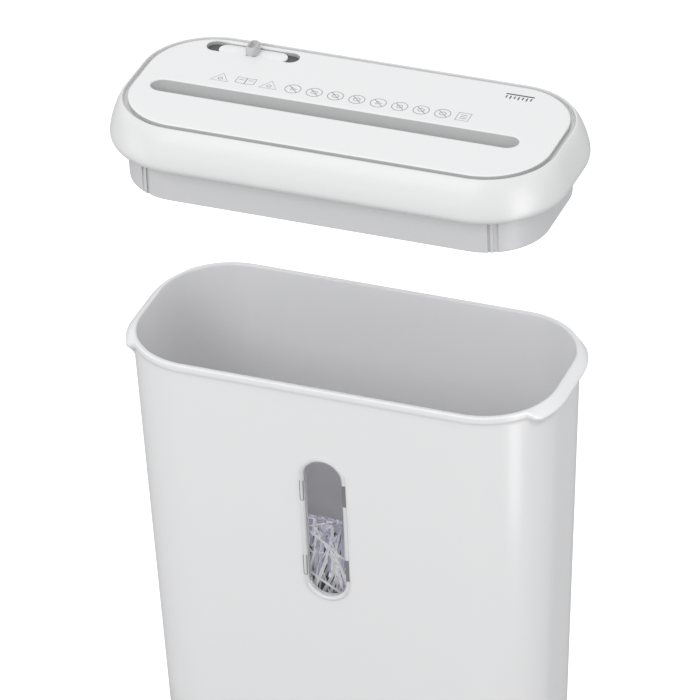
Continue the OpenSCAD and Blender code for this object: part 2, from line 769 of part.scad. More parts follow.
module sensor_switch() {
    in_head() color(dark_grey)
        translate([lever_x + 4.6, lever_at[0] - 2, 14.2]) cube([12.8, 8, 6.5]);
}
// The lever turns on a pin. Its arm hangs across the paper's way and swings down as a sheet passes.
module paper_lever() {
    in_head() color(dark_grey)
        translate([lever_x, lever_at[0], lever_at[1]]) rotate([lever_rest, 0, 0]) {
            translate([-1.5, 0, 0]) rotate([0, 90, 0]) cylinder(h = 3, r = 2);
            translate([-5, 0, 0]) rotate([0, 90, 0]) cylinder(h = 9.2, r = lever_pin_r);
            translate([-1.5, -lever_arm, -0.9]) cube([3, lever_arm, 1.8]);
        }
}
module interlock_switch() {
    in_head() color(dark_grey)
        translate([plunger_x - 10, plunger_y - 3.2, -2]) cube([20, 6.4, 10]);
}
module interlock_plunger() {
    in_head() color([0.8, 0.25, 0.2]) {
        translate([plunger_x, plunger_y, -neck_height - plunger_tip])
            cylinder(h = neck_height + plunger_tip - 5, r = plunger_r);
        translate([plunger_x, plunger_y, floor_top + 0.1]) cylinder(h = 1.5, r = plunger_r + 1.2);
    }
}

// Power cord gland in the back of the cover. Its blind bore is where the cord would enter.
gland_x = 96;
gland_z = 9;
gland_r = 4.5;
module cord_gland() {
    in_head() color(dark_grey) difference() {
        union() {
            translate([gland_x, cover_width / 2 - 6, gland_z]) rotate([-90, 0, 0])
                cylinder(h = 7.9, r = gland_r);
            translate([gland_x, cover_width / 2 - 6, gland_z]) rotate([-90, 0, 0])
                cylinder(h = 2, r = gland_r + 2);
        }
        translate([gland_x, cover_width / 2 - 2, gland_z]) rotate([-90, 0, 0]) cylinder(h = 8, r = 3);
    }
}

module base_screws() {
    in_head() color(steel) for (p = post_places) {
        translate([p[0], p[1], floor_top - 1.9]) cylinder(h = 1.85, r = 1.9);
        translate([p[0], p[1], floor_top - 0.2]) cylinder(h = 30, r = screw_r);
    }
}

// Mode slider: a flat plate in the recess with a stem below and an upright oval knob above.
module slider_plate() {
    in_head() color(white) {
        translate([slider_x, slider_y, recess_floor + 0.1])
            linear_extrude(tongue_thick) stadium(plate_length, recess_width - 0.8);
        translate([slider_x - stem_length / 2, slider_y - stem_width / 2, switch_top - 2.6])
            cube([stem_length, stem_width, recess_floor + 0.2 - switch_top + 2.6]);
    }
}
module slider_knob() {
    knob_foot = recess_floor + 0.1 + tongue_thick;
    rise = panel_top + knob_rise - knob_foot;
    in_head() color(pale_grey) translate([slider_x, slider_y, knob_foot]) difference() {
        linear_extrude(rise) rotate(90) stadium(12.4, 7.4);
        translate([0, 0, rise - 2.5]) linear_extrude(4) rotate(90) stadium(9, 4);
    }
}

bin_shell();
bin_window();
bin_feet();
paper_shreds();
head_cover();
top_panel();
head_base();
front_paper_guide();
rear_paper_guide();
left_side_plate();
right_side_plate();
tie_rods();
tie_rod_nuts();
shaft_bushes();
front_stripper_comb();
rear_stripper_comb();
motor_can();
motor_end_cap();
motor_magnets();
gear_pins();
gear_cover();
control_board();
board_parts();
mode_switch();
sensor_switch();
interlock_switch();
cord_gland();
base_screws();
gear_cover_screws();
slider_plate();
slider_knob();
rear_shaft();
rear_discs();
rear_spacers();
rear_sync_gear();
drive_gear();
front_shaft();
front_discs();
front_spacers();
front_sync_gear();
second_gear();
first_gear();
motor_rotor();
motor_pinion();
paper_lever();
interlock_plunger();
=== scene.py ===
"""Paper shredder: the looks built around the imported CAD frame.

Shapes are in millimetres until a mesh is made. Material depths, the camera and the lights are in metres.
X runs along the paper slot, the window faces -Y, +Z is up.
"""

import json
import math
import random

import bmesh
import bpy
from mathutils import Matrix, Vector


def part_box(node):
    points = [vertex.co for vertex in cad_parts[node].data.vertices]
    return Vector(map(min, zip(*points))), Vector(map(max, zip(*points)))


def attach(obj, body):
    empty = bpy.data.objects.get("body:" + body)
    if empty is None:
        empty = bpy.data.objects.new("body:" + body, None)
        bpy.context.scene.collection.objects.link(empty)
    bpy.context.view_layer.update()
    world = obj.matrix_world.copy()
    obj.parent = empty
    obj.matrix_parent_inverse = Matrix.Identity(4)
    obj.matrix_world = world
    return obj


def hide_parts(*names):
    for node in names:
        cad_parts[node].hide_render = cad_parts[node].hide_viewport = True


MM = 0.001
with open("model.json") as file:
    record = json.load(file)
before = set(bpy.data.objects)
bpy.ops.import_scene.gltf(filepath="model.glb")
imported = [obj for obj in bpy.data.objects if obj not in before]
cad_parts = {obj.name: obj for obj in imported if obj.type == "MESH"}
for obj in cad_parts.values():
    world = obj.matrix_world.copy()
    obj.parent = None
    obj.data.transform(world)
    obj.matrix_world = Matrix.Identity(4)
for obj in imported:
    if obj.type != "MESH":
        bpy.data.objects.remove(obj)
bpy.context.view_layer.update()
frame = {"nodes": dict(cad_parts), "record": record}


def box_mm(node):
    """Lowest and highest corner of a CAD node in millimetres."""
    low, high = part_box(node)
    return low / MM, high / MM


# Places that come from the frame.
bin_low, bin_high = box_mm("bin_shell")
window_low, window_high = box_mm("bin_window")
_, cover_high = box_mm("head_cover")
_, panel_high = box_mm("top_panel")
base_low, base_high = box_mm("head_base")
plate_low, plate_high = box_mm("slider_plate")
knob_low, knob_high = box_mm("slider_knob")
shreds_low, shreds_high = box_mm("paper_shreds")
gland_low, gland_high = box_mm("cord_gland")

RIM_Z = bin_high.z
NECK_HEIGHT = 25.0
SEAT_Z = base_low.z + NECK_HEIGHT
PANEL_Z = panel_high.z


# --------------------------------------------------------------------------------------- camera

CAMERA_AIM = Vector((-2.0, -5.0, 284.0)) * MM
CAMERA_AZIMUTH = math.radians(21.7)
CAMERA_ELEVATION = math.radians(32.1)
CAMERA_ROLL = math.radians(-1.9)
CAMERA_DISTANCE = 4.0
CAMERA_LENS = 335


def make_camera():
    """A long lens a few metres away, in front and a little to the right, with a slight roll."""
    sin_a, cos_a = math.sin(CAMERA_AZIMUTH), math.cos(CAMERA_AZIMUTH)
    sin_e, cos_e = math.sin(CAMERA_ELEVATION), math.cos(CAMERA_ELEVATION)
    back = Vector((sin_a * cos_e, -cos_a * cos_e, sin_e))
    level = Vector((cos_a, sin_a, 0))
    upright = back.cross(level)
    right = level * math.cos(CAMERA_ROLL) + upright * math.sin(CAMERA_ROLL)
    up = upright * math.cos(CAMERA_ROLL) - level * math.sin(CAMERA_ROLL)
    data = bpy.data.cameras.new("camera")
    data.lens = CAMERA_LENS
    data.sensor_width = 36
    data.clip_start = 0.1
    data.clip_end = 50
    camera = bpy.data.objects.new("camera", data)
    bpy.context.scene.collection.objects.link(camera)
    turned = Matrix((right, up, back)).transposed().to_4x4()
    camera.matrix_world = Matrix.Translation(CAMERA_AIM + back * CAMERA_DISTANCE) @ turned
    bpy.context.scene.camera = camera


# ------------------------------------------------------------------------------------ materials

# How far below the panel's face the darkening of its walls begins and is complete.
SUNK_DEPTH = (0.35, 1.0)
# Moulded plastic: how much its colour clouds over and over what scale, and the scale of its grain.
CLOUD_TINT = 0.003
CLOUD_SCALE = 9.0
GRAIN_SCALE = 2600.0


def new_material(name):
    """A material with only a Principled shader and its output."""
    material = bpy.data.materials.new(name)
    material.use_nodes = True
    return material, material.node_tree, material.node_tree.nodes["Principled BSDF"]


def noise(tree, scale, detail=3.0, stretch=(1, 1, 1)):
    """Noise in object coordinates, per metre, stretched for brushed or drawn surfaces."""
    coordinates = tree.nodes.new("ShaderNodeTexCoord")
    mapping = tree.nodes.new("ShaderNodeMapping")
    mapping.inputs["Scale"].default_value = stretch
    texture = tree.nodes.new("ShaderNodeTexNoise")
    texture.inputs["Scale"].default_value = scale
    texture.inputs["Detail"].default_value = detail
    tree.links.new(coordinates.outputs["Object"], mapping.inputs["Vector"])
    tree.links.new(mapping.outputs["Vector"], texture.inputs["Vector"])
    return texture.outputs["Fac"]


def colour_between(tree, factor, first, second, target):
    """Blends two colours by a factor into a shader socket."""
    ramp = tree.nodes.new("ShaderNodeValToRGB")
    ramp.color_ramp.elements[0].position = 0.35
    ramp.color_ramp.elements[0].color = (*first, 1)
    ramp.color_ramp.elements[1].position = 0.65
    ramp.color_ramp.elements[1].color = (*second, 1)
    tree.links.new(factor, ramp.inputs["Fac"])
    tree.links.new(ramp.outputs["Color"], target)


def value_between(tree, factor, low, high, target):
    """Maps a 0.3 to 0.7 factor to a range of values."""
    mapped = tree.nodes.new("ShaderNodeMapRange")
    mapped.inputs["From Min"].default_value = 0.3
    mapped.inputs["From Max"].default_value = 0.7
    mapped.inputs["To Min"].default_value = low
    mapped.inputs["To Max"].default_value = high
    tree.links.new(factor, mapped.inputs["Value"])
    tree.links.new(mapped.outputs["Result"], target)


def bump(tree, shader, height, distance):
    """Fine relief from a height signal, with its depth in metres."""
    node = tree.nodes.new("ShaderNodeBump")
    node.inputs["Strength"].default_value = 1.0
    node.inputs["Distance"].default_value = distance
    tree.links.new(height, node.inputs["Height"])
    tree.links.new(node.outputs["Normal"], shader.inputs["Normal"])


def plastic(name, colour, roughness, grain_depth=0.00002, coat=0.0):
    """Moulded plastic: a faint cloudiness in the colour and a fine moulded grain."""
    material, tree, shader = new_material(name)
    darker = tuple(c * (1 - CLOUD_TINT) for c in colour)
    colour_between(tree, noise(tree, CLOUD_SCALE, 0.0), darker, colour, shader.inputs["Base Color"])
    shader.inputs["Roughness"].default_value = roughness
    bump(tree, shader, noise(tree, GRAIN_SCALE, 2.0), grain_depth)
    shader.inputs["Coat Weight"].default_value = coat
    shader.inputs["Coat Roughness"].default_value = 0.12
    return material


def metal(name, colour, roughness, stretch=(1, 1, 1), scale=900, depth=0.00001):
    """Bare metal with drawn or turned marks and a faint oil film that varies its gloss."""
    material, tree, shader = new_material(name)
    marks = noise(tree, scale, 4.0, stretch)
    darker = tuple(c * 0.82 for c in colour)
    colour_between(tree, noise(tree, 60.0), darker, colour, shader.inputs["Base Color"])
    value_between(tree, marks, roughness * 0.7, roughness * 1.3, shader.inputs["Roughness"])
    bump(tree, shader, marks, depth)
    shader.inputs["Metallic"].default_value = 1.0
    return material


def clear_plastic():
    """Clear moulded plastic for the window."""
    material, tree, shader = new_material("clear_plastic")
    colour_between(tree, noise(tree, 30.0), (0.95, 0.96, 0.98), (1, 1, 1), shader.inputs["Base Color"])
    value_between(tree, noise(tree, 60.0), 0.02, 0.05, shader.inputs["Roughness"])
    shader.inputs["Transmission Weight"].default_value = 1.0
    shader.inputs["IOR"].default_value = 1.46
    return material


def panel_material():
    """Satin white plastic. Its sunk walls are darkened by depth, in place of the shade that lies there."""
    material, tree, shader = new_material("satin_panel_plastic")
    coordinates = tree.nodes.new("ShaderNodeTexCoord")
    parts = tree.nodes.new("ShaderNodeSeparateXYZ")
    tree.links.new(coordinates.outputs["Object"], parts.inputs["Vector"])
    depth = tree.nodes.new("ShaderNodeMapRange")
    depth.inputs["From Min"].default_value = (PANEL_Z - SUNK_DEPTH[1]) * MM
    depth.inputs["From Max"].default_value = (PANEL_Z - SUNK_DEPTH[0]) * MM
    tree.links.new(parts.outputs["Z"], depth.inputs["Value"])
    colour_between(tree, depth.outputs["Result"], (0.50, 0.50, 0.50), (0.87, 0.87, 0.865),
                   shader.inputs["Base Color"])
    value_between(tree, noise(tree, 25.0), 0.36, 0.40, shader.inputs["Roughness"])
    bump(tree, shader, noise(tree, GRAIN_SCALE, 2.0), 0.00001)
    return material


def milky_plastic():
    """Almost opaque pale plastic, which stands in for the thick clear plastic of the window's frame."""
    material, tree, shader = new_material("milky_plastic")
    colour_between(tree, noise(tree, 30.0), (0.88, 0.88, 0.89), (0.93, 0.93, 0.94),
                   shader.inputs["Base Color"])
    value_between(tree, noise(tree, 60.0), 0.06, 0.10, shader.inputs["Roughness"])
    shader.inputs["Transmission Weight"].default_value = 0.2
    shader.inputs["Coat Weight"].default_value = 0.6
    shader.inputs["Coat Roughness"].default_value = 0.05
    return material


def paper_material(name, low, high):
    """Thin uncoated paper with fibres. A faint glow stands in for the light that passes through it."""
    material, tree, shader = new_material(name)
    colour_between(tree, noise(tree, 400.0, 1.0, (1.0, 1.0, 0.10)), low, high, shader.inputs["Base Color"])
    shader.inputs["Emission Color"].default_value = (*high, 1)
    shader.inputs["Emission Strength"].default_value = 0.12
    shader.inputs["Roughness"].default_value = 0.85
    bump(tree, shader, noise(tree, 3000.0), 0.00002)
    return material


def rubber(name, colour):
    """Matt rubber with a fine pebbled grain."""
    material, tree, shader = new_material(name)
    colour_between(tree, noise(tree, 80.0), tuple(c * 0.8 for c in colour), colour,
                   shader.inputs["Base Color"])
    shader.inputs["Roughness"].default_value = 0.82
    bump(tree, shader, noise(tree, 1800.0), 0.00006)
    return material


def board_material():
    """Green solder resist with paler copper tracks under it."""
    material, tree, shader = new_material("circuit_board")
    wave = tree.nodes.new("ShaderNodeTexWave")
    wave.inputs["Scale"].default_value = 90.0
    wave.inputs["Distortion"].default_value = 6.0
    coordinates = tree.nodes.new("ShaderNodeTexCoord")
    tree.links.new(coordinates.outputs["Object"], wave.inputs["Vector"])
    colour_between(tree, wave.outputs["Fac"], (0.02, 0.16, 0.07), (0.05, 0.27, 0.13),
                   shader.inputs["Base Color"])
    shader.inputs["Roughness"].default_value = 0.35
    return material


MATERIALS = {
    "bin_plastic": plastic("white_bin_plastic", (0.87, 0.87, 0.87), 0.28, 0.000008, coat=0.25),
    "cover_plastic": plastic("pearl_cover_plastic", (0.775, 0.775, 0.77), 0.36, 0.000004, coat=0.1),
    "panel_plastic": panel_material(),
    "neck_plastic": plastic("grey_neck_plastic", (0.66, 0.66, 0.665), 0.42, 0.000012),
    "clear_plastic": clear_plastic(),
    "rubber": rubber("foot_rubber", (0.05, 0.05, 0.05)),
    "paper": paper_material("cut_paper", (0.86, 0.86, 0.89), (1.0, 1.0, 1.0)),
    # A darker lavender copy of the paper: painted shade that sets strips apart from their neighbours.
    "shaded_copy_of_paper": paper_material("cut_paper_painted_shade", (0.36, 0.34, 0.44), (0.60, 0.58, 0.70)),
    "bright_steel": metal("bright_steel", (0.72, 0.72, 0.73), 0.3, (0.15, 1, 1)),
    "cutter_steel": metal("oiled_cutter_steel", (0.45, 0.46, 0.48), 0.28, (2.5, 0.6, 0.6)),
    "bronze": metal("sintered_bronze", (0.62, 0.42, 0.2), 0.42),
    "dark_plastic": plastic("black_nylon", (0.03, 0.03, 0.033), 0.45, 0.00002),
    "gear_nylon": plastic("natural_nylon", (0.78, 0.74, 0.62), 0.4, 0.00001),
    "circuit_board": board_material(),
    "motor_steel": metal("zinc_plated_steel", (0.7, 0.71, 0.74), 0.32, (0.1, 1, 1)),
    "copper": metal("copper_windings", (0.75, 0.35, 0.18), 0.35, (0.3, 3, 3), 500, 0.0001),
    "knob_plastic": plastic("grey_knob_plastic", (0.55, 0.55, 0.56), 0.35, 0.00001),
    "red_plastic": plastic("red_nylon", (0.55, 0.05, 0.04), 0.4, 0.00001),
    "slider_plastic": plastic("white_slider_plastic", (0.9, 0.9, 0.9), 0.25, 0.000004, coat=0.3),
    # Dark grey for a thin sheet on the floor of the slider's recess: painted shade.
    "recess_shade": plastic("recess_painted_shade", (0.10, 0.10, 0.105), 0.5, 0.00001),
    "milky": milky_plastic(),
    # Dark grey for the window's clips: painted shade in their gaps, seen through the clear frame.
    "clip_painted_shade": plastic("clear_plastic_painted_shade", (0.22, 0.22, 0.23), 0.2, 0.000004, coat=0.3),
}


def paint_cad_nodes():
    """Every CAD node gets the procedural material of its record slot."""
    for row in frame["record"]["subparts"]:
        data = frame["nodes"][row["node"]].data
        data.materials.clear()
        data.materials.append(MATERIALS[row["material_slot"]])


# --------------------------------------------------------------------------------- mesh helpers

def outline(half_x, half_y, corner, arc_steps=18, long_steps=28, short_steps=8):
    """Points and outward normals round a rounded rectangle, anticlockwise from its right end."""
    points = []
    quarters = [(1, 1, short_steps), (-1, 1, long_steps), (-1, -1, short_steps), (1, -1, long_steps)]
    for index, (side_x, side_y, _) in enumerate(quarters):
        centre = Vector((side_x * (half_x - corner), side_y * (half_y - corner)))
        for step in range(arc_steps + 1):
            angle = math.radians(90) * (index + step / arc_steps)
            normal = Vector((math.cos(angle), math.sin(angle)))
            points.append((centre + normal * corner, normal))
        steps = quarters[(index + 1) % 4][2]
        end_x, end_y, _ = quarters[(index + 1) % 4]
        end = Vector((end_x * (half_x - corner), end_y * (half_y - corner))) + normal * corner
        start = points[-1][0]
        for step in range(1, steps):
            points.append((start.lerp(end, step / steps), normal))
    return points


def smooth_path(points, per_span=4):
    """A Catmull-Rom curve through tuples of numbers."""
    out = []
    for i in range(len(points) - 1):
        before = points[max(i - 1, 0)]
        start, end = points[i], points[i + 1]
        after = points[min(i + 2, len(points) - 1)]
        for step in range(per_span):
            t = step / per_span
            out.append(tuple(
                0.5 * (2 * b + (c - a) * t + (2 * a - 5 * b + 4 * c - d) * t * t
                       + (3 * b - a - 3 * c + d) * t ** 3)
                for a, b, c, d in zip(before, start, end, after)))
    out.append(tuple(points[-1]))
    return out


def bridge(rings, close):
    """Vertices and faces of rings joined one to the next. Unless close is true, both ends are capped."""
    count = len(rings[0])
    vertices = [p for ring in rings for p in ring]
    faces = []
    spans = len(rings) if close else len(rings) - 1
    for i in range(spans):
        a, b = i * count, (i + 1) % len(rings) * count
        for j in range(count):
            k = (j + 1) % count
            faces.append((a + j, a + k, b + k, b + j))
    if not close:
        faces.append(tuple(reversed(range(count))))
        faces.append(tuple((len(rings) - 1) * count + j for j in range(count)))
    return vertices, faces


def section_ring(half_x, half_y, corner, z, centre=(0, 0)):
    """One ring of a rounded rectangle at height z."""
    return [Vector((p.x + centre[0], p.y + centre[1], z)) for p, _ in outline(half_x, half_y, corner)]


def loose_object(name, vertices, faces):
    """A mesh object from millimetre points, with outward normals."""
    mesh = bpy.data.meshes.new(name)
    mesh.from_pydata([Vector(v) * MM for v in vertices], [], faces)
    work = bmesh.new()
    work.from_mesh(mesh)
    bmesh.ops.remove_doubles(work, verts=work.verts, dist=1e-7)
    bmesh.ops.recalc_face_normals(work, faces=work.faces)
    work.to_mesh(mesh)
    work.free()
    obj = bpy.data.objects.new(name, mesh)
    bpy.context.scene.collection.objects.link(obj)
    return obj


def cut(obj, cutters, operation="DIFFERENCE"):
    """Cuts objects out of obj, or joins them to it, and deletes them."""
    for cutter in cutters:
        modifier = obj.modifiers.new("cut", "BOOLEAN")
        modifier.operation = operation
        modifier.solver = "EXACT"
        modifier.object = cutter
    bpy.context.view_layer.update()
    evaluated = obj.evaluated_get(bpy.context.evaluated_depsgraph_get())
    mesh = bpy.data.meshes.new_from_object(evaluated)
    obj.modifiers.clear()
    obj.data = mesh
    for cutter in cutters:
        bpy.data.objects.remove(cutter)


def finish_piece(obj, material, body, replaces=(), sharp=32):
    """Shades a piece, gives it its material and fastens it to its body."""
    obj.data.polygons.foreach_set("use_smooth", [True] * len(obj.data.polygons))
    obj.data.set_sharp_from_angle(angle=math.radians(sharp))
    obj.data.materials.clear()
    obj.data.materials.append(material)
    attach(obj, body)
    if replaces:
        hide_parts(*replaces)
    return obj


def stadium_points(length, width, steps=20):
    """A stadium outline along X about the origin."""
    radius = width / 2
    points = []
    for side in (1, -1):
        for step in range(steps + 1):
            angle = math.radians(-90 if side == 1 else 90) + math.pi * step / steps
            points.append(Vector((side * (length / 2 - radius) + radius * math.cos(angle),
                                  radius * math.sin(angle))))
    return points


def prism(name, points, z0, z1, place=Matrix.Identity(4)):
    """A straight-sided solid from an outline, moved by a matrix in millimetres."""
    rings = [[place @ Vector((p.x, p.y, z)) for p in points] for z in (z0, z1)]
    return loose_object(name, *bridge(rings, False))


def cylinder_points(radius, steps=40):
    """A circle as an outline."""
    return [Vector((radius * math.cos(a), radius * math.sin(a)))
            for a in (2 * math.pi * i / steps for i in range(steps))]


def rectangle_points(size_x, size_y):
    """A rectangle as an outline."""
    return [Vector((sx * size_x / 2, sy * size_y / 2)) for sx, sy in ((1, -1), (1, 1), (-1, 1), (-1, -1))]


# -------------------------------------------------------------------------------------- the bin

GRIP_FLARE = 5.0
BEAD = 1.0
WALL = 2.3
FLOOR_THICK = 2.5
END_DRAFT = math.radians(2.4)
SIDE_DRAFT = math.radians(1.7)
RIM_HALF_X = bin_high.x - GRIP_FLARE
RIM_HALF_Y = bin_high.y - BEAD
RIM_CORNER = 47.0
CORNER_TAPER = 8
RIM_DEPTH = 16
GRIP_EDGE = 43.0
GRIP_BLEND = 5.0

# The rounded edges under the bin and round its floor: height, then the offset or inset from the wall.
FOOT_EDGE = [(0, -3.0), (0, -1.6), (0.4, -0.6), (1.6, -0.05)]
FLOOR_EDGE = [(4, 0.1), (1.4, 1.2), (0, 4)]

# The lug on the wall's inside that presses the plunger when the head is seated.
LUG_FRONT = -60.3
LUG_BACK = -47.9
LUG_WIDTH = 8
LUG_DEPTH = 16
LUG_GAP = 2.3


def wall_size(z):
    """Half length, half width and corner radius of the wall's outside at a height."""
    drop = RIM_Z - z
    half_x = RIM_HALF_X - drop * math.tan(END_DRAFT)
    half_y = RIM_HALF_Y - drop * math.tan(SIDE_DRAFT)
    return half_x, half_y, RIM_CORNER - CORNER_TAPER * drop / RIM_Z


def wall_outline(z):
    """The wall's outer outline at a height, with draft on all sides."""
    return outline(*wall_size(z))


def smoothstep(x):
    """0 below 0, 1 above 1 and smooth between."""
    x = min(1.0, max(0.0, x))
    return x * x * (3 - 2 * x)


# Both profiles run from the outer wall over the rim to the inner wall: outward offset, height.
PLAIN_RIM = [(0, -16), (0, -11), (0.05, -8), (0.25, -6), (0.8, -4.6), (1.0, -3.6), (1.0, -2.2),
             (0.95, -1.2), (0.6, -0.4), (-0.1, 0), (-1.1, 0), (-1.9, -0.15), (-2.35, -0.7), (-2.45, -1.6),
             (-2.4, -4), (-2.3, -9), (-2.3, -16)]
GRIP_RIM = [(0, -16), (0.1, -14.5), (0.7, -12.5), (1.9, -10.6), (3.4, -9), (4.6, -7.6), (5.0, -6.4),
            (4.8, -5.5), (3.9, -4.2), (2.2, -2.3), (0.5, -0.9), (-0.7, -0.15), (-1.7, -0.05), (-2.3, -0.6),
            (-2.45, -2.5), (-2.35, -9), (-2.3, -16)]


def rim_rings():
    """Rings over the rim. At both ends the rim flares out as a finger grip."""
    plain, grip = smooth_path(PLAIN_RIM), smooth_path(GRIP_RIM)
    rings = []
    for (plain_out, plain_z), (grip_out, grip_z) in zip(plain, grip):
        ring = []
        for point, normal in wall_outline(RIM_Z):
            share = smoothstep((GRIP_EDGE + GRIP_BLEND / 2 - abs(point.y)) / GRIP_BLEND)
            if abs(point.x) < RIM_HALF_X - RIM_CORNER:
                share = 0.0
            out = plain_out + (grip_out - plain_out) * share
            z = plain_z + (grip_z - plain_z) * share
            drop_x = -z * math.tan(END_DRAFT) * normal.x
            drop_y = -z * math.tan(SIDE_DRAFT) * normal.y
            ring.append(Vector((point.x + normal.x * out - drop_x, point.y + normal.y * out - drop_y,
                                RIM_Z + z)))
        rings.append(ring)
    return rings


def offset_ring(z, offset):
    """The wall's outline at a height, moved along its normals."""
    return [Vector((p.x + n.x * offset, p.y + n.y * offset, z)) for p, n in wall_outline(z)]


WINDOW_CENTRE = (window_low + window_high) / 2
WINDOW_LENGTH = (window_high.z - window_low.z) / math.cos(SIDE_DRAFT)
WINDOW_WIDTH = window_high.x - window_low.x
WINDOW_RING = 2.2


def window_place():
    """Matrix from the window's own frame, with X up the wall and Z out of it, to the bin."""
    _, half_y, _ = wall_size(WINDOW_CENTRE.z)
    up = Vector((0, -math.sin(SIDE_DRAFT), math.cos(SIDE_DRAFT)))
    out = Vector((0, -math.cos(SIDE_DRAFT), -math.sin(SIDE_DRAFT)))
    across = out.cross(up)
    turned = Matrix((up, across, out)).transposed().to_4x4()
    return Matrix.Translation((WINDOW_CENTRE.x, -half_y, WINDOW_CENTRE.z)) @ turned


def make_bin():
    """The waste bin: drafted walls, a rolled rim with finger grips, and the window's opening."""
    foot_z = bin_low.z
    inner_floor = foot_z + FLOOR_THICK
    rim_foot = RIM_Z - RIM_DEPTH
    rings = [offset_ring(foot_z + height, offset) for height, offset in FOOT_EDGE]
    rings += [offset_ring(foot_z + (rim_foot - foot_z) * i / 8, 0) for i in range(1, 8)]
    rings += rim_rings()
    rings += [offset_ring(inner_floor + (rim_foot - inner_floor) * i / 6, -WALL) for i in range(5, 0, -1)]
    rings += [offset_ring(inner_floor + height, -WALL - inset) for height, inset in FLOOR_EDGE]
    shell = loose_object("white_bin", *bridge(rings, False))
    hole = prism("hole", stadium_points(WINDOW_LENGTH - 2 * WINDOW_RING, WINDOW_WIDTH - 2 * WINDOW_RING),
                 -8, 6, window_place())
    cut(shell, [hole])
    lug_top = RIM_Z - NECK_HEIGHT - LUG_GAP
    plunger_low, plunger_high = box_mm("interlock_plunger")
    plunger_x = (plunger_low.x + plunger_high.x) / 2
    lug = prism("lug", rectangle_points(LUG_WIDTH, LUG_BACK - LUG_FRONT), lug_top - LUG_DEPTH, lug_top,
                Matrix.Translation((plunger_x, (LUG_FRONT + LUG_BACK) / 2, 0)))
    cut(shell, [lug], "UNION")
    return finish_piece(shell, MATERIALS["bin_plastic"], "bin", ["bin_shell"])


# ----------------------------------------------------------------------------------- the window

CLIP_PLACES = (-28.0, 28.0)
CLIP_LENGTH = 16.4
CLIP_WIDTH = 2.4
# Heights and width of the thin dark U-lines round two of the clips, which are painted shadow in their gaps.
CLIP_LEVELS = (0.6, 1.04)
CLIP_LINE = 0.75
PANE_INSET = 2.8

# The frame's cross-section: inset from its outer edge, height over the wall.
FRAME_PROFILE = [(0.1, 0.05), (0.0, 0.35), (0.25, 0.8), (0.9, 1.0), (1.7, 0.95), (2.3, 0.6), (2.6, 0.1),
                 (2.75, -0.8), (2.75, -2.6), (3.3, -2.8), (3.4, -3.5), (2.5, -3.6), (2.35, -3.4),
                 (2.35, 0.02)]


def swept_ring(name, length, width, profile, place):
    """A closed stadium frame whose cross-section is a profile of inset and height."""
    rings = []
    for inset, height in profile:
        points = stadium_points(length - 2 * inset, width - 2 * inset, 24)
        rings.append([place @ Vector((p.x, p.y, height)) for p in points])
    return loose_object(name, *bridge(rings, True))


def make_window():
    """The clear window: a pane set back in a rounded frame that four clips hold in the wall. The clips and
    the gaps round them are dark grey, which is painted shade.
    """
    place = window_place()
    ring = swept_ring("window_frame", WINDOW_LENGTH, WINDOW_WIDTH, FRAME_PROFILE, place)
    right_clip = 1.3 - WINDOW_WIDTH / 2
    for along in CLIP_PLACES:
        notch = prism("notch", rectangle_points(CLIP_LENGTH, CLIP_WIDTH), -1.6, 2.0,
                      place @ Matrix.Translation((along, right_clip, 0)))
        cut(ring, [notch])
    finish_piece(ring, MATERIALS["milky"], "bin", ["bin_window"], 40)
    pane_outline = stadium_points(WINDOW_LENGTH - 2 * PANE_INSET, WINDOW_WIDTH - 2 * PANE_INSET, 24)
    pane = prism("window_pane", pane_outline, -2.6, -1.4, place)
    finish_piece(pane, MATERIALS["clear_plastic"], "bin")
    # Two dark grey clips sit in notches of the frame, and thin dark U-lines outline the other two: both are
    # painted shade in the gaps round the clips.
    for index, along in enumerate(CLIP_PLACES):
        clip = prism("clip", rectangle_points(CLIP_LENGTH - 0.3, CLIP_WIDTH - 0.2), -1.2, 0.25,
                     place @ Matrix.Translation((along, right_clip, 0)))
        clip.name = f"window_clip_{index + 1}"
        finish_piece(clip, MATERIALS["clip_painted_shade"], "bin")
        edge = place @ Matrix.Translation((along, WINDOW_WIDTH / 2 - 1.55, 0))
        outer = stadium_points(CLIP_LENGTH, CLIP_WIDTH + 0.3, 12)
        inner = stadium_points(CLIP_LENGTH - CLIP_LINE, CLIP_WIDTH + 0.3 - CLIP_LINE, 12)
        low, high = CLIP_LEVELS
        rings = [[edge @ Vector((p.x, p.y, z)) for p in points]
                 for points, z in ((outer, low), (outer, high), (inner, high), (inner, low))]
        line = loose_object(f"window_clip_{index + 3}", *bridge(rings, True))
        open_end = prism("open_end", rectangle_points(3, 4), 0, 2,
                         edge @ Matrix.Translation((CLIP_LENGTH / 2, 0, 0)))
        cut(line, [open_end])
        finish_piece(line, MATERIALS["clip_painted_shade"], "bin")


# ------------------------------------------------------------------------------------ the paper

HEAP_WIDTH = (1.0, 2.4)
HEAP_GAP = WALL + 4.5
HEAP_FRONT = -50.0
HEAP_SAG = 9.0
HEAP_SLOPE = 74 / 104
HEAP_SEED = 7
WALL_STRIPS = 520
TOP_STRIPS = 320
WINDOW_STRIPS = 105
STRIP_STEPS = 14
WINDOW_LAYERS = 11.0
CORE_DEPTH = 10


def heap_height(y):
    """The heap is banked up behind the window and slopes down to the back wall."""
    return shreds_high.z - HEAP_SAG - max(0.0, y - HEAP_FRONT) * HEAP_SLOPE


def keep_in_heap(point):
    """Moves a point into the space of the heap, inside the wall's rounded outline."""
    z = max(shreds_low.z + 0.5, min(point.z, heap_height(point.y)))
    half_x, half_y, wall_corner = wall_size(z)
    corner = wall_corner - HEAP_GAP
    core_x = half_x - HEAP_GAP - corner
    core_y = half_y - HEAP_GAP - corner
    over = Vector((max(0.0, abs(point.x) - core_x), max(0.0, abs(point.y) - core_y)))
    if over.length > corner:
        over *= corner / over.length
    x = math.copysign(min(abs(point.x), core_x) + over.x, point.x)
    y = math.copysign(min(abs(point.y), core_y) + over.y, point.y)
    return Vector((x, y, min(z, heap_height(y))))


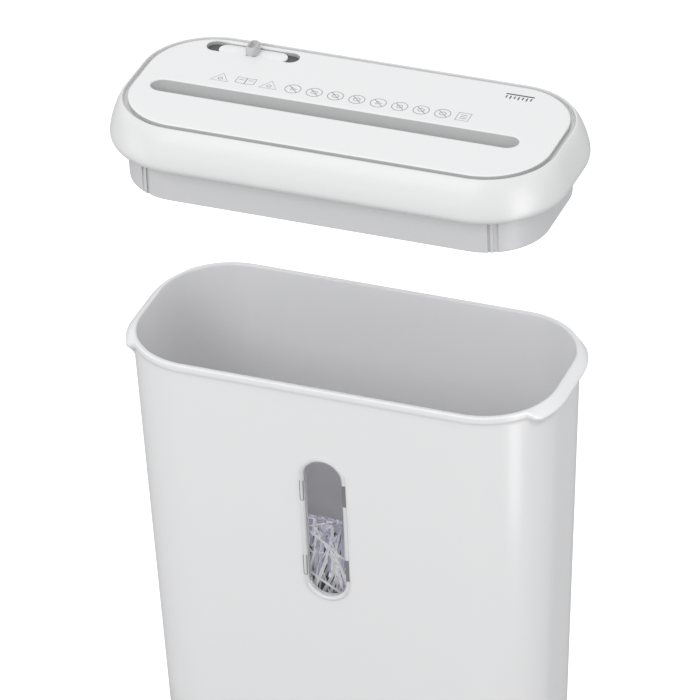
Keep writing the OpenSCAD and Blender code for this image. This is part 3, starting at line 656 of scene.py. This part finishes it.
class Heap:
    """Curling strips of cut paper collected into two meshes: one of white paper and one of a darker lavender
    copy of it, which is painted shade.
    """

    def __init__(self, seed):
        self.rng = random.Random(seed)
        self.tones = [([], []), ([], [])]

    def strip(self, start, heading, normal, length, bend, twist=0.30):
        """One strip: pairs of edge points along a bending centreline."""
        point, direction = start.copy(), heading.normalized()
        side = direction.cross(normal).normalized()
        turn = self.rng.uniform(-twist, twist)
        half_width = self.rng.uniform(*HEAP_WIDTH) / 2
        left, right = [], []
        for _ in range(STRIP_STEPS + 1):
            side = (Matrix.Rotation(turn, 3, direction) @ side).normalized()
            left.append(keep_in_heap(point - side * half_width))
            right.append(keep_in_heap(point + side * half_width))
            direction = (Matrix.Rotation(bend / STRIP_STEPS, 3, normal) @ direction).normalized()
            point = point + direction * (length / STRIP_STEPS)
        # Each strip goes at random to the white paper or to its darker copy, which is painted shade.
        vertices, faces = self.rng.choice(self.tones)
        base = len(vertices)
        vertices += left + right
        other = base + STRIP_STEPS + 1
        for i in range(STRIP_STEPS):
            faces.append((base + i, base + i + 1, other + i + 1, other + i))


def strips_on_walls(heap, count):
    """Strips that stand against the bin's walls all round."""
    rng = heap.rng
    wall_at = offset_ring(120, -HEAP_GAP)
    for _ in range(count):
        corner = wall_at[rng.randrange(len(wall_at))]
        outward = Vector((corner.x / RIM_HALF_X ** 2, corner.y / RIM_HALF_Y ** 2, 0)).normalized()
        start = Vector((corner.x, corner.y, rng.uniform(10, heap_height(corner.y) - 8)))
        start -= outward * rng.uniform(0, 5)
        if corner.y < HEAP_FRONT and abs(corner.x - WINDOW_CENTRE.x) < 26:
            start -= outward * 12
        along = Vector((-outward.y, outward.x, 0))
        lean = math.radians(rng.gauss(0, 32))
        heading = Vector((0, 0, 1)) * math.cos(lean) + along * math.sin(lean)
        heap.strip(start, heading, outward, rng.uniform(45, 90), rng.uniform(-1.1, 1.1))


def strips_behind_window(heap, count):
    """Close-packed strips that stand behind the window, from the back layer to the front one."""
    rng = heap.rng
    outward = Vector((0, -1, 0))
    left, right = window_low.x - 6, window_high.x + 6
    bottom, top = window_low.z - 12, shreds_high.z - HEAP_SAG
    for index in range(count):
        depth = WINDOW_LAYERS * (1 - index / count) ** 0.8
        x = rng.uniform(left, right)
        z = rng.uniform(bottom, top - 22)
        _, half_y, _ = wall_size(z)
        wall_y = -half_y + HEAP_GAP
        lean = math.radians(rng.gauss(12, 17))
        room = (top - rng.uniform(0, 9) - z) / max(0.5, math.cos(lean))
        heading = Vector((math.sin(lean), -0.03, math.cos(lean)))
        heap.strip(Vector((x, wall_y + depth, z)), heading, outward, min(rng.uniform(40, 90), room),
                   rng.uniform(-0.7, 0.7), 0.14)
    start = Vector((left, -RIM_HALF_Y + HEAP_GAP + 2.6, top - 9))
    heap.strip(start, Vector((1, 0, 0.22)), outward, right - left + 4, 0.42, 0.02)


def strips_on_top(heap, count):
    """Strips that lie on the sloping top of the heap."""
    rng = heap.rng
    slope = Vector((0, HEAP_SLOPE, 1)).normalized()
    for _ in range(count):
        y = rng.uniform(-46, 46)
        start = Vector((rng.uniform(-112, 112), y, heap_height(y) - rng.uniform(0.5, 6)))
        angle = rng.uniform(0, 2 * math.pi)
        heading = Vector((math.cos(angle), math.sin(angle), -math.sin(angle) * HEAP_SLOPE))
        heap.strip(start, heading, slope, rng.uniform(50, 110), rng.uniform(-2.2, 2.2))


def make_shreds():
    """The heap of paper strips: a core painted near-black as shade, wrapped in close-packed curling strips.
    """
    heap = Heap(HEAP_SEED)
    strips_on_walls(heap, WALL_STRIPS)
    strips_on_top(heap, TOP_STRIPS)
    strips_behind_window(heap, WINDOW_STRIPS)
    white, shaded_copy = heap.tones
    strips = loose_object("paper_strips", *white)
    finish_piece(strips, MATERIALS["paper"], "bin", ["paper_shreds"], 60)
    # Strips of the darker copy of the paper: painted shade that sets them apart from the white ones.
    strips = loose_object("paper_strips_painted_shade", *shaded_copy)
    finish_piece(strips, MATERIALS["shaded_copy_of_paper"], "bin", (), 60)
    # The core's near-black colour is painted shade deep in the heap.
    rings = []
    for z in (shreds_low.z + 1, 60, 100, shreds_high.z):
        ring = offset_ring(z, -HEAP_GAP - CORE_DEPTH)
        rings.append([Vector((p.x, p.y, min(p.z, heap_height(p.y) - CORE_DEPTH))) for p in ring])
    core = loose_object("paper_core", *bridge(rings, False))
    finish_piece(core, paper_core_material(), "bin")


def paper_core_material():
    """Near-black paper: painted shade for the shadowed inside of the heap."""
    material, tree, shader = new_material("heap_core_painted_shade")
    colour_between(tree, noise(tree, 140.0, 5.0, (1, 1, 0.25)), (0.015, 0.015, 0.018), (0.10, 0.10, 0.12),
                   shader.inputs["Base Color"])
    shader.inputs["Roughness"].default_value = 0.9
    return material


# ----------------------------------------------------------------------------------- the cover

# Inset along X and along Y from the cover's widest line, corner radius, height above the seat.
COVER_OUTSIDE = [(2.0, 2.4, 49.8, 0.0), (1.2, 1.6, 50.6, 0.7), (0.3, 0.4, 51.6, 2.6),
                 (0.0, 0.0, 52.0, 5.2), (0.8, 1.0, 51.0, 10.0), (2.2, 2.8, 49.2, 15.0),
                 (3.7, 4.8, 47.5, 19.5), (5.2, 6.8, 45.9, 23.0), (6.4, 8.5, 44.6, 25.2),
                 (7.1, 9.4, 43.9, 26.2)]
COVER_LIP = [(7.5, 9.9, 43.5, 26.45), (8.0, 10.4, 43.0, 26.2), (8.25, 10.65, 42.75, 25.6)]
COVER_INSIDE = [(8.3, 10.7, 42.7, 23.5), (21.3, 18.2, 33.7, 23.5), (21.3, 18.2, 33.7, 21.5),
                (9.8, 12.2, 41.2, 21.5), (4.6, 5.2, 47.0, 17.0), (4.0, 4.5, 47.5, 12.0),
                (4.0, 4.5, 47.5, 0.3), (3.6, 4.1, 47.9, 0.0)]
GLAND_HOLE = 4.6
POST_RADIUS = 3.0
POST_BORE = 1.4
POSTS = [(x, y) for x in (-127, 127) for y in (-20, 20)]


def inset_ring(half_x, half_y, row):
    """A ring of the head's shells from a row of insets, corner radius and height."""
    inset_x, inset_y, corner, height = row
    return section_ring(half_x - inset_x, half_y - inset_y, corner, SEAT_Z + height)


def make_cover():
    """The satin cover: a ring that flares from the lip round the groove and tucks in at its foot."""
    rows = smooth_path(COVER_OUTSIDE + COVER_LIP[:1], 4) + COVER_LIP[1:] + COVER_INSIDE
    rings = [inset_ring(cover_high.x, cover_high.y, row) for row in rows]
    shell = loose_object("pearl_cover", *bridge(rings, True))
    gland = (gland_low + gland_high) / 2
    hole_place = Matrix.Translation((gland.x, cover_high.y, gland.z))
    hole_place = hole_place @ Matrix.Rotation(math.radians(90), 4, "X")
    cut(shell, [prism("hole", cylinder_points(GLAND_HOLE), -10, 10, hole_place)])
    for x, y in POSTS:
        place = Matrix.Translation((x, y, 0))
        bore = prism("bore", cylinder_points(POST_BORE, 24), SEAT_Z - 4, SEAT_Z + 11, place)
        post = prism("post", cylinder_points(POST_RADIUS, 32), SEAT_Z - 3, SEAT_Z + 22, place)
        cut(post, [bore])
        cut(shell, [post], "UNION")
    return finish_piece(shell, MATERIALS["cover_plastic"], "head", ["head_cover"], 38)


# -------------------------------------------------------------------------------- the top panel

SLOT_CENTRE = (-5.0, -10.2)
SLOT_STRAIGHT = 110.0
MOUTH_HALF = 7.8
SLOT_HALF = 2.5
FUNNEL_DEPTH = 11.5
LEFT_TIP = 9.5
RIGHT_TIP = 7.8
PANEL_HALF_X = panel_high.x
PANEL_HALF_Y = panel_high.y
PANEL_CORNER = 39.7
PANEL_THICK = 3.5


def slot_ring(half_width, z):
    """A ring of the paper slot with round ends, the left one stretched a little."""
    ring = []
    for p, _ in outline(SLOT_STRAIGHT + half_width, half_width, half_width - 0.001):
        over = max(0.0, abs(p.x) - SLOT_STRAIGHT)
        stretch = (LEFT_TIP if p.x < 0 else RIGHT_TIP) / MOUTH_HALF
        x = math.copysign(min(abs(p.x), SLOT_STRAIGHT) + over * stretch, p.x)
        ring.append(Vector((x + SLOT_CENTRE[0], p.y + SLOT_CENTRE[1], z)))
    return ring


def panel_ring(inset, z):
    """A ring of the panel's edge."""
    return section_ring(PANEL_HALF_X - inset, PANEL_HALF_Y - inset, PANEL_CORNER - inset, z)


SLIDER_X = (plate_low.x + plate_high.x) / 2
SLIDER_Y = (plate_low.y + plate_high.y) / 2
RECESS_LENGTH = 60.4
RECESS_WIDTH = 12.4
RECESS_DEPTH = 2.6
SLIT_SIZE = (24, 4.2)
MOUTH_ROUND = 0.8


def make_panel():
    """The top panel with its rounded edge, the funnel of the paper slot and the slider's recess."""
    top = PANEL_Z
    low = top - PANEL_THICK
    rings = [panel_ring(0.3, low), panel_ring(0, low + 0.3)]
    rings += [panel_ring(0, top - 1.0)]
    rings += [panel_ring(1.0 - math.cos(a), top - 1.0 + math.sin(a)) for a in (0.35, 0.7, 1.05, 1.3)]
    rings += [panel_ring(1.0, top), panel_ring(3, top)]
    rings += [slot_ring(MOUTH_HALF + 1.2, top), slot_ring(MOUTH_HALF + 0.1, top)]
    rings += [slot_ring(MOUTH_HALF - MOUTH_ROUND * s, top - d)
              for s, d in ((0.25, 0.08), (0.6, 0.35), (0.85, 0.8))]
    rings += [slot_ring(MOUTH_HALF - 1.2, top - 2.2), slot_ring(SLOT_HALF + 2.1, top - 7),
              slot_ring(SLOT_HALF, top - FUNNEL_DEPTH), slot_ring(SLOT_HALF + 1.8, top - FUNNEL_DEPTH),
              slot_ring(MOUTH_HALF + 1.5, low)]
    panel = loose_object("top_plate", *bridge(rings, True))
    boss = prism("boss", stadium_points(RECESS_LENGTH + 3, RECESS_WIDTH + 3, 24), top - RECESS_DEPTH - 1.5,
                 low + 0.5, Matrix.Translation((SLIDER_X, SLIDER_Y, 0)))
    cut(panel, [boss], "UNION")
    recess = prism("recess", stadium_points(RECESS_LENGTH, RECESS_WIDTH, 28), top - RECESS_DEPTH, top + 3,
                   Matrix.Translation((SLIDER_X, SLIDER_Y, 0)))
    slit = prism("slit", rectangle_points(*SLIT_SIZE), top - 9, top - 1,
                 Matrix.Translation((SLIDER_X, SLIDER_Y, 0)))
    cut(panel, [recess])
    cut(panel, [slit])
    return finish_piece(panel, MATERIALS["panel_plastic"], "head", ["top_panel"], 42)


# ------------------------------------------------------------------------------ printed symbols

PRINT_RISE = 0.03
PRINT_THICK = 0.05


class LineArt:
    """Flat printed line-work collected into one thin mesh on the panel."""

    def __init__(self):
        self.vertices = []
        self.faces = []

    def stroke(self, points, width, closed=False):
        """A band of even width along a line of points."""
        count = len(points)
        left, right = [], []
        for i, p in enumerate(points):
            before = points[(i - 1) % count] if closed or i else p
            after = points[(i + 1) % count] if closed or i < count - 1 else p
            tangent = (Vector(after) - Vector(before)).normalized()
            side = Vector((-tangent.y, tangent.x)) * width / 2
            left.append(Vector(p) + side)
            right.append(Vector(p) - side)
        base = len(self.vertices)
        z = PANEL_Z + PRINT_RISE
        for level in (z, z + PRINT_THICK):
            self.vertices += [Vector((p.x, p.y, level)) for p in left]
            self.vertices += [Vector((p.x, p.y, level)) for p in right]
        low_left, low_right = base, base + count
        top_left, top_right = base + 2 * count, base + 3 * count
        spans = count if closed else count - 1
        for i in range(spans):
            k = (i + 1) % count
            self.faces += [
                (low_left + i, low_left + k, low_right + k, low_right + i),
                (top_left + i, top_right + i, top_right + k, top_left + k),
                (low_left + i, top_left + i, top_left + k, low_left + k),
                (low_right + i, low_right + k, top_right + k, top_right + i)]
        if not closed:
            last = count - 1
            self.faces += [
                (low_left, low_right, top_right, top_left),
                (low_left + last, top_left + last, top_right + last, low_right + last)]

    def ring(self, x, y, radius, width):
        """A circle outline."""
        self.stroke([(x + p.x, y + p.y) for p in cylinder_points(radius, 36)], width, True)

    def make(self, name, material):
        """The collected strokes as one piece on the head."""
        obj = loose_object(name, self.vertices, self.faces)
        return finish_piece(obj, material, "head")


SYMBOL_Y = 9.0
SYMBOL_LINE = 0.45
TRIANGLES_X = (-85.7, -54.1)
BOOK_X = -69.7
RING_RADIUS = 4.9
FIRST_RING_X = -39.0
RING_STEP = 13.75
RING_COUNT = 8
SHEET_X = 70.4
MARK_AT = (94.6, 42.0)
MARK_TEETH = 7


def make_symbols():
    """A row of plain line symbols behind the slot and a small mark at the right."""
    art = LineArt()
    for x in TRIANGLES_X:
        art.stroke([(x - 5.6, SYMBOL_Y - 4), (x + 5.6, SYMBOL_Y - 4), (x, SYMBOL_Y + 5)], SYMBOL_LINE, True)
        art.ring(x, SYMBOL_Y - 1.2, 1.3, SYMBOL_LINE)
    x = BOOK_X
    for side in (-1, 1):
        art.stroke([(x, SYMBOL_Y - 3.4), (x + side * 6, SYMBOL_Y - 2.6), (x + side * 6, SYMBOL_Y + 4),
                    (x, SYMBOL_Y + 3.2)], SYMBOL_LINE, True)
        art.stroke([(x + side * 1.6, SYMBOL_Y + 1), (x + side * 4.6, SYMBOL_Y + 1.3)], SYMBOL_LINE)
    reach_x = RING_RADIUS * math.cos(math.radians(45))
    reach_y = RING_RADIUS * math.sin(math.radians(45))
    for index in range(RING_COUNT):
        x = FIRST_RING_X + index * RING_STEP
        art.ring(x, SYMBOL_Y, RING_RADIUS, SYMBOL_LINE)
        art.stroke([(x - reach_x, SYMBOL_Y + reach_y), (x + reach_x, SYMBOL_Y - reach_y)], SYMBOL_LINE)
        sides = 3 + index % 4
        inner = [(x + 2.3 * math.cos(2 * math.pi * i / sides + 0.5 * index),
                  SYMBOL_Y + 2.0 * math.sin(2 * math.pi * i / sides + 0.5 * index)) for i in range(sides)]
        art.stroke(inner, SYMBOL_LINE, True)
    x = SHEET_X
    art.stroke([(x - 4, SYMBOL_Y - 4.5), (x + 4, SYMBOL_Y - 4.5), (x + 4, SYMBOL_Y + 4.5),
                (x - 4, SYMBOL_Y + 4.5)], SYMBOL_LINE, True)
    for level in (-2, 0, 2):
        art.stroke([(x - 2.2, SYMBOL_Y + level), (x + 2.2, SYMBOL_Y + level)], SYMBOL_LINE)
    art.make("printed_symbols", plastic("grey_ink", (0.33, 0.33, 0.34), 0.5, 0.000004))
    mark = LineArt()
    mark_x, mark_y = MARK_AT
    mark.stroke([(mark_x - 9, mark_y + 1.5), (mark_x + 9, mark_y + 1.5)], 1.1)
    for index in range(MARK_TEETH):
        x = mark_x - 7.8 + index * 2.6
        mark.stroke([(x, mark_y - 0.4), (x, mark_y - 3.2 - 0.8 * (index % 2))], 0.8)
    mark.make("printed_mark", plastic("black_ink", (0.04, 0.04, 0.045), 0.45, 0.000004))


# ----------------------------------------------------------------------------------- the slider

STEM_SIZE = (8, 3.6)


def make_slider():
    """The slider's rounded plate with its stem, and its oval knob with a dished top."""
    place = Matrix.Translation((SLIDER_X, SLIDER_Y, 0))
    floor = PANEL_Z - RECESS_DEPTH + 0.1
    length, width = plate_high.x - plate_low.x, plate_high.y - plate_low.y
    plate_top = knob_low.z
    profile = [(0.25, floor), (0.0, floor + 0.25), (0.0, plate_top - 0.45), (0.15, plate_top - 0.15),
               (0.5, plate_top)]
    rings = [[place @ Vector((p.x, p.y, z)) for p in stadium_points(length - 2 * i, width - 2 * i, 24)]
             for i, z in profile]
    plate = loose_object("slider_tongue", *bridge(rings, False))
    stem = prism("stem", rectangle_points(*STEM_SIZE), plate_low.z, floor + 0.4, place)
    cut(plate, [stem], "UNION")
    finish_piece(plate, MATERIALS["slider_plastic"], "mode_slider", ["slider_plate"])
    knob_length, knob_width = knob_high.y - knob_low.y, knob_high.x - knob_low.x
    top = knob_high.z
    profile = [(0.1, knob_low.z), (0.0, knob_low.z + 0.4), (0.15, top - 1.6), (0.35, top - 0.7),
               (0.75, top - 0.15), (1.2, top), (1.55, top - 0.12), (1.8, top - 0.6), (2.0, top - 2.4),
               (2.6, top - 2.9), (3.2, top - 3.0)]
    turned = place @ Matrix.Rotation(math.radians(90), 4, "Z")
    rings = [[turned @ Vector((p.x, p.y, z))
              for p in stadium_points(knob_length - 2 * i, knob_width - 2 * i, 20)]
             for i, z in profile]
    knob = loose_object("slider_button", *bridge(rings, False))
    finish_piece(knob, MATERIALS["knob_plastic"], "mode_slider", ["slider_knob"], 50)


def make_recess_floor():
    """A thin dark grey sheet on the bottom of the slider's recess: painted shade."""
    floor = PANEL_Z - RECESS_DEPTH
    recess_shade = prism("recess_painted_shade_sheet", stadium_points(RECESS_LENGTH - 0.2, RECESS_WIDTH - 0.2, 24),
                  floor, floor + 0.07, Matrix.Translation((SLIDER_X, SLIDER_Y, 0)))
    finish_piece(recess_shade, MATERIALS["recess_shade"], "head")


# ------------------------------------------------------------------------------------- the neck

# Inset along X and along Y from the flange's edge, corner radius, height above the seat.
NECK_LOW = (7.38, 6.18, 38.3)
NECK_TOP = (6.6, 5.5, 39.0)
NECK_SECTIONS = [(8.9, 7.7, 36.8, -25.0), (8.0, 6.8, 37.7, -24.8), (7.5, 6.3, 38.2, -24.2),
                 (*NECK_LOW, -23.0), (*NECK_TOP, -0.2), (*NECK_TOP, 0.3), (0.0, 0.0, 47.2, 0.3),
                 (0.0, 0.0, 47.2, 2.2), (8.9, 7.8, 36.7, 2.2), (9.7, 8.5, 36.0, -22.0),
                 (10.7, 9.5, 35.0, -23.0)]
OUTLET_LOW = Vector((-114.0, -41.7))
OUTLET_HIGH = Vector((104.0, 19.8))
GROOVE_X = 111.0
GROOVE_DEPTH = 1.3
# Each pair of grooves: place along X from GROOVE_X, width.
GROOVE_PAIR = ((-2.6, 1.7), (1.3, 3.0))


def make_neck():
    """The grey neck that drops into the bin, with its paired grooves and the outlet for the strips."""
    half_x, half_y = base_high.x, base_high.y
    centre = (OUTLET_LOW + OUTLET_HIGH) / 2
    half = (OUTLET_HIGH - OUTLET_LOW) / 2
    rings = [inset_ring(half_x, half_y, row) for row in NECK_SECTIONS]
    rings += [section_ring(half.x, half.y, 3, SEAT_Z - 23.0, centre),
              section_ring(half.x, half.y, 3, SEAT_Z - 24.6, centre),
              section_ring(half.x + 0.5, half.y + 0.5, 3.5, SEAT_Z - 25.0, centre)]
    neck = loose_object("neck_shell", *bridge(rings, True))
    cutters = []
    for side in (-1, 1):
        for face in (-1, 1):
            for along, width in GROOVE_PAIR:
                x = side * GROOVE_X + along
                inner = half_y - NECK_LOW[0] - 4.2
                place = Matrix.Translation((x, face * (inner + 4), 0))
                cutters.append(prism("groove", rectangle_points(width, 8), SEAT_Z - 26, SEAT_Z - 1.0, place))
    skin = groove_limit(half_x, half_y)
    for cutter in cutters:
        cut(cutter, [copy_of(skin)])
        cut(neck, [cutter])
    bpy.data.objects.remove(skin)
    holes = [prism("hole", cylinder_points(2.0, 24), SEAT_Z - 26, SEAT_Z - 22,
                   Matrix.Translation((x, y, 0))) for x, y in POSTS]
    plunger_low, plunger_high = box_mm("interlock_plunger")
    plunger = (plunger_low + plunger_high) / 2
    holes.append(prism("hole", cylinder_points(2.1, 24), SEAT_Z - 26, SEAT_Z - 22,
                       Matrix.Translation((plunger.x, plunger.y, 0))))
    for hole in holes:
        cut(neck, [hole])
    return finish_piece(neck, MATERIALS["neck_plastic"], "head", ["head_base"], 30)


def groove_limit(half_x, half_y):
    """The solid that the grooves stop at, a little inside the neck's skin."""
    rows = [(x + GROOVE_DEPTH, y + GROOVE_DEPTH, corner - GROOVE_DEPTH, height)
            for (x, y, corner), height in ((NECK_LOW, -27), (NECK_TOP, 1))]
    return loose_object("limit", *bridge([inset_ring(half_x, half_y, r) for r in rows], False))


def copy_of(obj):
    """A linked copy of an object with its own mesh."""
    made = obj.copy()
    made.data = obj.data.copy()
    bpy.context.scene.collection.objects.link(made)
    return made


# --------------------------------------------------------------------------------- studio set-up

FLOOR_HALF = 12.0


def make_floor():
    """A grey floor that runs out of sight. It glows white for the camera only, and lights nothing."""
    mesh = bpy.data.meshes.new("floor")
    corners = [(x * FLOOR_HALF, y * FLOOR_HALF, 0) for x, y in ((-1, -1), (1, -1), (1, 1), (-1, 1))]
    mesh.from_pydata(corners, [], [(0, 1, 2, 3)])
    floor = bpy.data.objects.new("floor", mesh)
    bpy.context.scene.collection.objects.link(floor)
    material, tree, shader = new_material("pale_floor")
    shader.inputs["Base Color"].default_value = (0.40, 0.40, 0.40, 1)
    shader.inputs["Roughness"].default_value = 0.9
    shader.inputs["Specular IOR Level"].default_value = 0.0
    shader.inputs["Emission Color"].default_value = (1, 1, 1, 1)
    rays = tree.nodes.new("ShaderNodeLightPath")
    tree.links.new(rays.outputs["Is Camera Ray"], shader.inputs["Emission Strength"])
    mesh.materials.append(material)


def area_light(name, place, aim, size, power):
    """A soft box that points at a spot and isn't seen itself. Returns its object."""
    data = bpy.data.lights.new(name, "AREA")
    data.shape = "RECTANGLE"
    data.size, data.size_y = size
    data.energy = power
    light = bpy.data.objects.new(name, data)
    light.location = place
    light.rotation_euler = (Vector(aim) - Vector(place)).to_track_quat("-Z", "Y").to_euler()
    light.visible_camera = False
    bpy.context.scene.collection.objects.link(light)
    return light


def make_lights():
    """Soft, high-key light: an even surround, a key box, a fill on each side and a strip for reflections."""
    world = bpy.data.worlds.new("surround")
    world.use_nodes = True
    background = world.node_tree.nodes["Background"]
    background.inputs["Color"].default_value = (0.98, 0.985, 1.0, 1)
    background.inputs["Strength"].default_value = 0.86
    bpy.context.scene.world = world
    area_light("key_softbox", (-0.45, -2.0, 1.9), (0, 0, 0.35), (1.5, 1.5), 17)
    area_light("left_fill", (-1.5, -0.8, 0.25), (0, 0, 0.25), (1.0, 0.5), 2.8)
    area_light("right_fill", (1.5, -0.6, 0.25), (0, 0, 0.25), (1.0, 0.5), 4.4)
    strip_light = area_light("right_strip", (0.34, -0.16, 0.26), (0.12, -0.04, 0.24), (0.10, 0.52), 0.42)
    strip_light.visible_diffuse = False
    bpy.context.scene.view_settings.view_transform = "Standard"


make_camera()
paint_cad_nodes()
make_bin()
make_window()
make_shreds()
make_cover()
make_panel()
make_symbols()
make_recess_floor()
make_slider()
make_neck()
make_floor()
make_lights()
